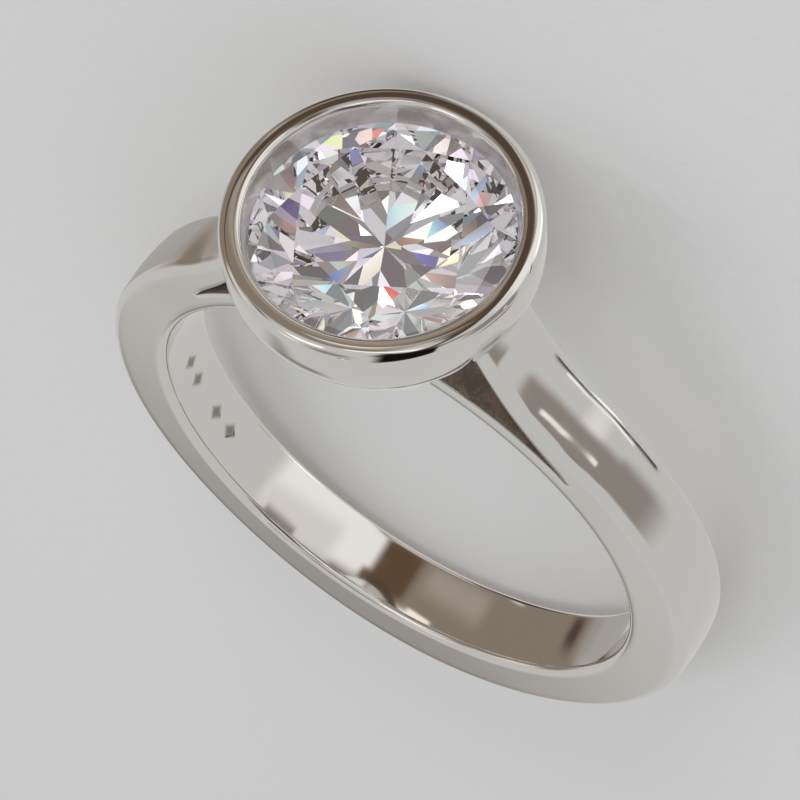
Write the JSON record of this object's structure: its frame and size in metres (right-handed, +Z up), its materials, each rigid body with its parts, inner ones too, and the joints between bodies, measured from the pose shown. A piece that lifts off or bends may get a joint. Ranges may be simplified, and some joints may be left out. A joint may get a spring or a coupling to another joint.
{
  "type": "bezel-set solitaire finger ring",
  "caption": "Finger ring with a large round brilliant stone in a plain cup bezel, carried by pierced shoulders on a softly crowned band; it lies on its side.",
  "frame": {"origin": "on the floor that the ring lies on, under the centre of its bounding box", "axes": "+Z up from the floor, close to the finger hole's axis; +Y from the bottom of the band across the finger hole towards the stone; +X across the ring, from one shoulder to the other"},
  "size_m": [0.0216, 0.0258, 0.0093],
  "materials": {
    "metal": "mirror-polished white metal: rhodium-plated sterling silver",
    "stone": "colourless cut moissanite with polished facets"
  },
  "bodies": {
    "root": {"shank_with_bezel": "metal", "stone": "stone"}
  },
  "joints": []
}
